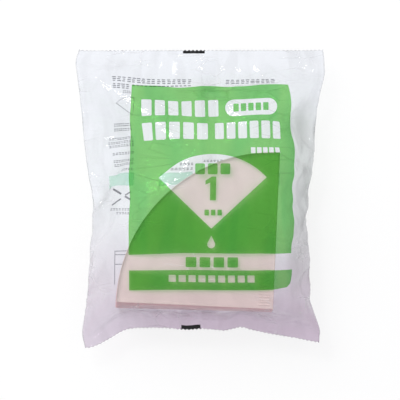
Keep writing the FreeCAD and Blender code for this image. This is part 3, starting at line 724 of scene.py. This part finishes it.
# Ink cut to its outlines and laid on the film's outside (side 0) or inside (side 1)
def inkPiece(name, loops, side, lift, material, step=1.5):
    loops = [dense(loop, step) for loop in loops]
    verts, edges = [], []
    for loop in loops:
        start = len(verts)
        verts += loop
        edges += [(start + k, start + (k + 1) % len(loop)) for k in range(len(loop))]
    low, high = np.min(verts, axis=0), np.max(verts, axis=0)
    grid = np.meshgrid(np.arange(low[0], high[0], step), np.arange(low[1], high[1], step))
    grid = np.stack(grid, axis=-1).reshape(-1, 2)
    grid = grid[insideLoops(grid, loops)]
    verts += [tuple(p) for p in grid.tolist()]
    flat, _, faces, _, _, _ = delaunay_2d_cdt(verts, edges, [], 0, 1e-4)
    flat = np.array([tuple(v) for v in flat])
    faces = np.array([tuple(f) for f in faces])
    faces = faces[insideLoops(flat[faces].mean(axis=1), loops)]
    used, faces = np.unique(faces, return_inverse=True)
    faces = faces.reshape(-1, 3)
    flat = flat[used]
    a, b, c = flat[faces[:, 0]], flat[faces[:, 1]], flat[faces[:, 2]]
    turned = ((b - a)[:, 0] * (c - a)[:, 1] - (b - a)[:, 1] * (c - a)[:, 0]) < 0
    faces[turned] = faces[turned][:, ::-1]
    places = filmPlace(side, flat[:, 0], flat[:, 1])
    pushFromStack(places, bag["drawnRoom"])
    normal = filmNormal(side, flat[:, 0], flat[:, 1])
    places = places + normal * (lift if side == 0 else -lift)
    return newPiece(name, places, faces.tolist(), [material], flat + [bag["width"] / 2, 0])


frontInk = {
    # The edges of the green panel and of the bar under it
    "left": [(-46.6, 184.2), (-47.4, 168), (-49.8, 156), (-50.8, 143), (-49.6, 128), (-50.2, 110),
             (-48.8, 88), (-47.4, 66.2)],
    "right": [(65.8, 66.2), (66.0, 82), (68.4, 94), (68.8, 106), (66.5, 116), (64.2, 127), (64.6, 145),
              (64.2, 157), (61.6, 170), (59.0, 183.0)],
    "foot": [(-10, 67.8), (40, 67.6)],
    "head": [(40, 184.6), (22, 183.4), (6, 184.6), (-15, 184.0), (-30, 185.0)],
    "bar": [(-46.6, 56.0), (-46.0, 43.0), (0, 43.8), (45, 43.8), (60.0, 43.6), (62.6, 45.6),
            (65.6, 54.9), (45, 56.6), (0, 56.8)],
    "fan": (7.3, 83.9, 49.6, 94),                # its point, radius, angle
    "drop": (7.4, 73.6, 5.2, 8.4),               # middle of its round part, wide, tall
    "pill": (16.4, 160.4, 51.4, 172.6, 6.05),    # left, low, right, high, corner
    "numeral": (2.8, 102.6, 7.2, 15.8, 4.0),     # left, low, wide, tall, stem
    # Rows of plain blocks: left, right, low, high, how many, gap, corner
    "titles": [(-40.2, 11.8, 160.9, 172.8, 6, 2.2, 0.9), (-40.6, 4.4, 144.2, 156.2, 5, 2.2, 0.9),
               (9.2, 54.2, 144.2, 156.2, 6, 1.9, 0.9)],
    "smallRows": [(22.0, 45.6, 163.6, 169.4, 5, 1.4, 0.5), (33.0, 52.2, 134.0, 138.0, 5, 1.0, 0.3),
                  (-20.4, 36.4, 48.8, 53.4, 9, 1.8, 0.4)],
    "lowRows": [(-4.2, 19.2, 119.9, 127.2, 3, 1.9, 1.0), (2.6, 14.2, 92.6, 96.4, 3, 1.4, 0.3),
                (-9.4, 25.4, 58.6, 65.2, 4, 2.2, 0.6)],
    "lift": 0.12,
}


# What lies inside an outline is printed, and what lies inside one within it is bare
def frontPrint():
    shape = frontInk
    titles, smallRows, lowRows = ([block for row in shape[name] for block in blockRow(*row)]
                                  for name in ("titles", "smallRows", "lowRows"))
    loops = [shape["left"] + shape["foot"] + shape["right"] + shape["head"], shape["bar"],
             fanShape(*shape["fan"]), dropShape(*shape["drop"]), *titles, barShape(*shape["pill"]),
             *smallRows, numeralOne(*shape["numeral"]), *lowRows]
    return inkPiece("frontPrint", loops, 0, shape["lift"], greenInk)


greenPrint = frontPrint()
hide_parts("front_print")
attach(greenPrint, "root")
print("front print laid")

backInk = {
    # Plain rows: left, right, low, high, strokes in a row, breaks in a row
    "rows": [
        (-60.4, -5.6, 187.4, 190.6, 3, 16), (-60.0, -47.6, 182.6, 185.8, 3, 4),
        (-46.6, -5.6, 185.1, 185.9, 1, 14), (17.0, 51.0, 186.6, 190.0, 3, 10),
        (-52.6, -47.0, 179.4, 181.2, 2, 4), (-62.4, -47.6, 154.6, 156.6, 2, 8),
        (-62.4, -47.6, 151.4, 153.2, 2, 8), (-65.6, -48.4, 145.2, 146.8, 2, 9),
        (-66.4, -48.4, 142.4, 144.0, 2, 10), (-65.8, -48.4, 139.8, 141.4, 2, 9),
        (-64.4, -47.6, 134.4, 136.0, 2, 8), (-64.8, -47.6, 129.2, 130.8, 2, 9),
        (-64.6, -47.6, 126.4, 128.0, 2, 8), (-57.0, -47.6, 122.2, 123.6, 2, 5),
        (-15.0, -5.0, 125.4, 127.0, 2, 4), (-21.0, -5.0, 122.0, 123.6, 2, 6),
        (1.5, 29.0, 127.2, 128.6, 2, 12), (-61.4, -47.6, 94.4, 95.8, 2, 7),
        (-57.0, -47.6, 91.8, 93.2, 2, 5), (18.0, 50.0, 102.4, 104.0, 2, 15),
        (18.0, 50.0, 98.8, 100.4, 2, 15), (18.0, 50.0, 95.2, 96.8, 2, 15),
        (18.0, 44.0, 91.6, 93.2, 2, 12), (18.0, 50.0, 84.0, 85.6, 2, 15),
        (18.0, 50.0, 80.4, 82.0, 2, 15), (18.0, 40.0, 76.8, 78.4, 2, 10),
    ],
    "line": 0.45,
    "fans": [(-46.5, 161.5), (2.0, 93.0), (2.0, 71.0)],
    "fanRadius": 14.5,
    "fanAngle": 98,
    "fanEnd": (-45.0, -45.4),                            # the first fan ends here, line and hole
    "table": (-57.3, 44.0, -10.0, (66.9, 64.4, 57.9)),   # left, low, right, levels of its lines
    # Slanted strokes: from, to, how wide
    "strokes": [(-61.3, 109.3, -54.4, 105.6, 1.3), (-51.8, 104.0, -47.9, 101.9, 1.3),
                (-60.4, 97.9, -54.4, 102.3, 0.9), (-51.6, 104.9, -48.1, 107.2, 0.9)],
    "strip": [(-70.0, 111.4, -46.5, 120.4), (-28.6, 111.4, -5.2, 120.4), (16.0, 111.4, 54.0, 120.4)],
    "stripCorner": 0.6,
    "stripLift": 0.10,
    "lift": 0.12,
    "seed": 5,
}


# A printed row kept plain: short dashes with breaks, a few strokes deep
def wordRow(left, right, low, high, strokes, breaks, chance):
    loops = []
    pitch = (right - left) / breaks
    tall = (high - low) / (strokes * 2 - 1)
    for k in range(breaks):
        start = left + k * pitch
        for stroke in range(strokes):
            inset, end = chance.uniform(0, 0.22, 2) * pitch
            base = low + stroke * tall * 2
            loops.append(barShape(start + inset, base, start + pitch * 0.86 - end, base + tall))
    return loops


def backPrint():
    chance = np.random.default_rng(backInk["seed"])
    loops = []
    for row in backInk["rows"]:
        loops += wordRow(*row, chance)
    line = backInk["line"]
    for number, (fanX, fanY) in enumerate(backInk["fans"]):
        stroke = loopStroke(fanShape(fanX, fanY, backInk["fanRadius"], backInk["fanAngle"]), line)
        if number == 0:    # this one ends behind the green panel
            stroke = [[(min(x, end), y) for x, y in loop] for loop, end in zip(stroke, backInk["fanEnd"])]
        loops += stroke
    left, low, right, levels = backInk["table"]
    loops.append(barShape(left - line, low, left, levels[0]))
    loops += [barShape(left + 0.1, level - line, right, level) for level in levels]
    for x0, y0, x1, y1, wide in backInk["strokes"]:
        long = math.hypot(x1 - x0, y1 - y0)
        dx, dy = (y0 - y1) / long * wide / 2, (x1 - x0) / long * wide / 2
        loops.append([(x0 - dx, y0 - dy), (x1 - dx, y1 - dy), (x1 + dx, y1 + dy), (x0 + dx, y0 + dy)])
    return inkPiece("backPrint", loops, 1, backInk["lift"], greyInk, 2.5)


greyPrint = backPrint()
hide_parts("back_print")
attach(greyPrint, "root")

stripBars = [barShape(*box, backInk["stripCorner"]) for box in backInk["strip"]]
stripPrint = inkPiece("backStrip", stripBars, 1, backInk["stripLift"], stripInk)
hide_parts("back_strip")
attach(stripPrint, "root")

marks = {
    "foot": (-15.0, 0.6, 3.4),    # left, right, how tall
    "head": (-12.8, 2.8, 2.6),
    "inset": 0.15,                # from the cut
    "lift": 0.14,
}


# Black marks on the end seals, cut with the seal's own teeth
def registerMarks():
    pitch = bag["toothPitch"] / 2
    columns = np.arange(-bag["width"] / 2, bag["width"] / 2 + 0.01, pitch)
    teeth = [(x, bag["toothDepth"] if k % 2 else 0.0) for k, x in enumerate(columns)]
    loops = []
    for end, base, sign in (("foot", 0, 1), ("head", bag["length"], -1)):
        left, right, tall = marks[end]
        row = [place for place in teeth if left <= place[0] <= right]
        loops.append([(x, base + sign * (tooth + marks["inset"])) for x, tooth in row]
                     + [(row[-1][0], base + sign * tall), (row[0][0], base + sign * tall)])
    return inkPiece("registerMarks", loops, 0, marks["lift"], blackInk, 1.2)


blackMarks = registerMarks()
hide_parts("register_marks")
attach(blackMarks, "root")
print("back print and marks laid")

lap = {"left": 0.5, "width": 10.0, "lift": 0.28, "columns": 9, "rows": 150}


# The lap seal inside the back: a second layer of film along it
def lapSeal():
    across = np.linspace(lap["left"], lap["left"] + lap["width"], lap["columns"])
    up = np.linspace(bag["seal"], bag["length"] - bag["seal"], lap["rows"])
    flatAcross, flatUp = np.meshgrid(across, up)
    places = filmPlace(1, flatAcross, flatUp) - filmNormal(1, flatAcross, flatUp) * lap["lift"]
    grid = np.arange(flatAcross.size).reshape(flatAcross.shape)
    flat = np.stack([flatAcross + bag["width"] / 2, flatUp], axis=-1).reshape(-1, 2)
    return newPiece("lapSeal", places.reshape(-1, 3), gridFaces(grid), [lapFilm], flat)


lapStrip = lapSeal()
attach(lapStrip, "root")


# One folded filter is drawn once; the stack repeats it with Geometry Nodes

filters = {
    "arcParts": 40,
    "shift": 0.00035,        # how far a filter lies off its place, metres
    "turn": 0.0035,          # and how far it is turned, radians
    "seed": 3,
    "ribs": 8,               # crimps along the seam, beside the point
    "ribStart": 2.4,
    "ribPitch": 1.8,
    "ribShift": 1.5,         # to the left of the seam's middle
    "ribLong": 7.0,
    "ribWide": 0.9,
    "ribTall": 0.35,
    "ribSink": 0.05,         # how far a rib's foot lies in the paper
    "seamWide": 9.0,
    "rings": 30,             # of the top filter's upper ply
    "parts": 48,
    "puff": 0.25,            # how far that ply stands up,
    "ripple": 0.05,          # give or take,
    "puffEdge": 30.0,        # this far in from its fold and seam
}


# A corner of a filter or a rib, about the filters' point
def cornerAt(left, up, level):
    x, y = sectorPlace(left, up, stackTop)
    return x - stack["point"][0], y - stack["point"][1], level


# Two plies, one on the other, each a quarter disc
def foldedFilter():
    outline = arcPoints(0, 0, stack["radius"], 0, 90, filters["arcParts"])[::-1] + [(0.0, 0.0)]
    count = len(outline)
    verts, faces = [], []
    for low, high in ((0.0, stack["ply"]), (stack["thick"] - stack["ply"], stack["thick"])):
        start = len(verts)
        verts += [cornerAt(left, up, level) for level in (low, high) for left, up in outline]
        faces.append([start + k for k in range(count)][::-1])
        faces.append([start + count + k for k in range(count)])
        for k in range(count):
            n = (k + 1) % count
            faces.append([start + k, start + n, start + count + n, start + count + k])
    return verts, faces


def socketNamed(tree, name):
    sockets = [item for item in tree.interface.items_tree if item.in_out == "INPUT"]
    return next(socket.identifier for socket in sockets if socket.name == name)


# A tree with named inputs and a line of Count points from Start, each Step from the last
def lineTree(name, moreSockets):
    tree = bpy.data.node_groups.new(name, "GeometryNodeTree")
    tree.interface.new_socket("Geometry", in_out="INPUT", socket_type="NodeSocketGeometry")
    for label, kind in [("Count", "Int"), ("Step", "Vector"), ("Start", "Vector")] + moreSockets:
        tree.interface.new_socket(label, in_out="INPUT", socket_type="NodeSocket" + kind)
    tree.interface.new_socket("Geometry", in_out="OUTPUT", socket_type="NodeSocketGeometry")
    given = tree.nodes.new("NodeGroupInput").outputs
    line = output(tree.nodes, "GeometryNodeMeshLine", mode="OFFSET", count_mode="TOTAL",
                  Count=given["Count"], Start_Location=given["Start"], Offset=given["Step"])
    return tree, given, line


# Its end: the piece on each point, made real and given its paper
def finishTree(tree, given, points, **turned):
    copies = output(tree.nodes, "GeometryNodeInstanceOnPoints", Points=points,
                    Instance=given["Geometry"], **turned)
    real = output(tree.nodes, "GeometryNodeRealizeInstances", Geometry=copies)
    paper = output(tree.nodes, "GeometryNodeSetMaterial", Geometry=real, Material=given["Paper"])
    addNode(tree.nodes, "NodeGroupOutput", Geometry=paper)
    return tree


def scaled(nodes, vector, share):
    return output(nodes, "ShaderNodeVectorMath", vector, operation="SCALE", Scale=share)


def added(nodes, first, second):
    return output(nodes, "ShaderNodeVectorMath", first, second, operation="ADD")


# Copies on a line, each a little off its place and a little turned. The line bows by
# Swell in its middle, and is turned back by Twist at its start.
def stackTree():
    tree, given, line = lineTree("filterStack", [
        ("Shift", "Vector"), ("Turn", "Vector"), ("Seed", "Int"), ("Swell", "Vector"),
        ("Twist", "Vector"), ("Paper", "Material")])
    nodes = tree.nodes
    shift, turn = (
        output(nodes, "FunctionNodeRandomValue", scaled(nodes, given[label], -1.0), given[label],
               data_type="FLOAT_VECTOR", Seed=mathNode(nodes, "ADD", given["Seed"], offset))
        for offset, label in enumerate(("Shift", "Turn")))
    index = output(nodes, "GeometryNodeInputIndex")
    share = mathNode(nodes, "DIVIDE", index, given["Count"])
    bow = mathNode(nodes, "SINE", mathNode(nodes, "MULTIPLY", share, math.pi))
    moved = added(nodes, scaled(nodes, given["Swell"], bow), shift)
    points = output(nodes, "GeometryNodeSetPosition", Geometry=line, Offset=moved)
    twist = scaled(nodes, given["Twist"], mathNode(nodes, "SUBTRACT", 1.0, share))
    return finishTree(tree, given, points, Rotation=added(nodes, twist, turn))


# Runs a tree on a piece and leaves a plain mesh
def applied(piece, tree, values):
    modifier = piece.modifiers.new(tree.name, "NODES")
    modifier.node_group = tree
    for name, value in values.items():
        modifier[socketNamed(tree, name)] = value
    graph = bpy.context.evaluated_depsgraph_get()
    mesh = bpy.data.meshes.new_from_object(piece.evaluated_get(graph))
    piece.modifiers.clear()
    old = piece.data
    piece.data = mesh
    bpy.data.meshes.remove(old)
    mesh.name = piece.name
    return piece


def filterStack():
    verts, faces = foldedFilter()
    piece = newPiece("filterStack", verts, faces, [shadedStackPaper], smooth=False)
    start = (stack["point"][0] * metre, stack["point"][1] * metre, stack["low"] * metre)
    return applied(piece, stackTree(), {
        "Count": stack["count"] - 1, "Step": (0, 0, stack["step"] * metre), "Start": start,
        "Shift": (filters["shift"], filters["shift"], 0), "Turn": (0, 0, filters["turn"]),
        "Seed": filters["seed"], "Swell": (stack["swell"][0] * metre, stack["swell"][1] * metre, 0),
        "Twist": (0, 0, math.radians(stack["headTurn"] - stack["footTurn"])), "Paper": shadedStackPaper})


lowerFilters = filterStack()
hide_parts("paper_filters")
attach(lowerFilters, "root")


# The filter on top: a gently puffed upper ply, flat along its fold and seam
def frontSheet():
    radius = stack["radius"]
    rings, parts = filters["rings"], filters["parts"]
    verts, faces = [], []
    for level, puff in ((topFilterLow, 0.0), (stackTop, 1.0)):
        for ring in range(rings + 1):
            reach = radius * (ring / rings) ** 0.9
            for part in range(parts + 1):
                angle = math.pi / 2 * part / parts
                left, up = reach * math.cos(angle), reach * math.sin(angle)
                edge = min(max(0, left - filters["seamWide"]), up)
                swell = filters["puff"] + filters["ripple"] * math.sin(left / 11) * math.cos(up / 14)
                swell *= min(1, edge / filters["puffEdge"])
                x, y = sectorPlace(left, up, stackTop)
                verts.append((x, y, level + puff * swell))
    count = (rings + 1) * (parts + 1)
    for ring in range(rings):
        for a in range(ring * (parts + 1), ring * (parts + 1) + parts):
            face = [a, a + 1, a + parts + 2, a + parts + 1]
            faces += [face, [count + corner for corner in face[::-1]]]
    rim = [ring * (parts + 1) for ring in range(rings + 1)]
    rim += [rings * (parts + 1) + part for part in range(1, parts + 1)]
    rim += [ring * (parts + 1) + parts for ring in range(rings - 1, 0, -1)]
    for a, b in zip(rim, rim[1:] + rim[:1]):
        faces.append([a, count + a, count + b, b])
    return verts, faces


# A low ridge across the seam, about its own middle
def oneRib():
    long, wide = filters["ribLong"] / 2, filters["ribWide"] / 2
    tall, sink = filters["ribTall"], filters["ribSink"]
    profile = [(-wide, -sink), (-wide * 0.5, tall * 0.75), (0, tall), (wide * 0.5, tall * 0.75),
               (wide, -sink)]
    verts = [cornerAt(end, up, level) for end in (long, -long) for up, level in profile]
    faces = [[k, k + 5, k + 6, k + 1] for k in range(4)] + [[4, 9, 5, 0], [0, 1, 2, 3, 4], [9, 8, 7, 6, 5]]
    return verts, [face[::-1] for face in faces]


# The sheet, and beside it one crimp repeated along its seam
def topFilter():
    verts, faces = frontSheet()
    sheet = newPiece("frontFilter", verts, faces, [filterPaper])
    ribVerts, ribFaces = oneRib()
    ribs = newPiece("seamRibs", ribVerts, ribFaces, [filterPaper], smooth=False)
    middle, first = filters["seamWide"] / 2 + filters["ribShift"], filters["ribStart"]
    x0, y0 = sectorPlace(middle, first, stackTop)
    x1, y1 = sectorPlace(middle, first + filters["ribPitch"], stackTop)
    ribs = applied(ribs, finishTree(*lineTree("seamRibs", [("Paper", "Material")])), {
        "Count": filters["ribs"], "Step": ((x1 - x0) * metre, (y1 - y0) * metre, 0),
        "Start": (x0 * metre, y0 * metre, stackTop * metre), "Paper": filterPaper})
    return sheet, ribs


frontFilter, seamRibs = topFilter()
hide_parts("front_filter")
for piece in (frontFilter, seamRibs):
    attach(piece, "root")
print("filters stacked")


# Stage, light and camera

light = {
    "world": 0.66,
    "worldTint": (0.97, 0.98, 1.0, 1),
    "floorTint": (0.92, 0.92, 0.93, 1),
    "floorWhite": 0.8,       # how much of the seen floor is plain white
    # Name, place, size, power, tint, and whether the film mirrors it: only the small one glints
    "lamps": [
        ("keyLamp", (-0.75, 0.85, 1.0), 1.0, 13.5, (1, 0.985, 0.96), False),
        ("sparkLamp", (-0.5, 0.75, 1.3), 0.22, 3.0, (1, 1, 1), True),
        ("fillLamp", (0.9, -0.2, 1.3), 1.2, 2.2, (0.98, 0.97, 1.0), False),
    ],
}


# 1 where the camera sees a thing itself, or in a mirror or through glass
def seenShare(nodes):
    seen = addNode(nodes, "ShaderNodeLightPath").outputs
    either = mathNode(nodes, "MAXIMUM", seen["Is Camera Ray"], seen["Is Glossy Ray"])
    return mathNode(nodes, "MAXIMUM", either, seen["Is Transmission Ray"])


def stageFloor():
    mesh = bpy.data.meshes.new("floor")
    mesh.from_pydata([(-3, -3, 0), (3, -3, 0), (3, 3, 0), (-3, 3, 0)], [], [[0, 1, 2, 3]])
    floor = bpy.data.objects.new("floor", mesh)
    floor.location.z = -0.0004
    bpy.context.scene.collection.objects.link(floor)
    material, nodes = newMaterial("paleFloor")
    share = mathNode(nodes, "MULTIPLY", seenShare(nodes), light["floorWhite"])
    plain = output(nodes, "ShaderNodeBsdfDiffuse", Color=light["floorTint"])
    white = output(nodes, "ShaderNodeEmission", Color=(1, 1, 1, 1), Strength=1.0)
    mixed = output(nodes, "ShaderNodeMixShader", share, plain, white)
    addNode(nodes, "ShaderNodeOutputMaterial", Surface=mixed)
    mesh.materials.append(material)


def areaLamp(name, place, size, power, tint, mirrored):
    lamp = bpy.data.lights.new(name, "AREA")
    lamp.shape = "SQUARE"
    lamp.size = size
    lamp.energy = power
    lamp.color = tint
    holder = bpy.data.objects.new(name, lamp)
    holder.location = place
    holder.visible_glossy = mirrored
    x, y, z = place    # aimed at the middle
    holder.rotation_euler = (math.atan2(math.hypot(x, y), z), 0, math.atan2(-y, -x) - math.pi / 2)
    bpy.context.scene.collection.objects.link(holder)


# Soft light from all round, with white behind the object
def studioWorld():
    world = bpy.data.worlds.new("studio")
    bpy.context.scene.world = world
    world.use_nodes = True
    nodes = world.node_tree.nodes
    nodes.clear()
    around = output(nodes, "ShaderNodeBackground", Color=light["worldTint"], Strength=light["world"])
    white = output(nodes, "ShaderNodeBackground", Color=(1, 1, 1, 1), Strength=1.0)
    mixed = output(nodes, "ShaderNodeMixShader", seenShare(nodes), around, white)
    addNode(nodes, "ShaderNodeOutputWorld", Surface=mixed)


stageFloor()
studioWorld()
for lamp in light["lamps"]:
    areaLamp(*lamp)

# The camera looks straight down: its distance above a level, and what it sees there across
view = {"distance": 2.5, "across": 0.2708, "level": 0.020}
camera = bpy.data.cameras.new("camera")
camera.sensor_width = 36.0
camera.lens = camera.sensor_width * view["distance"] / view["across"]
cameraHolder = bpy.data.objects.new("camera", camera)
cameraHolder.location = (0, 0, view["distance"] + view["level"])
bpy.context.scene.collection.objects.link(cameraHolder)
bpy.context.scene.camera = cameraHolder
bpy.context.scene.view_settings.view_transform = "Standard"
bpy.context.scene.cycles.transparent_max_bounces = 24    # film, ink and film again, many times over

print("scene ready")
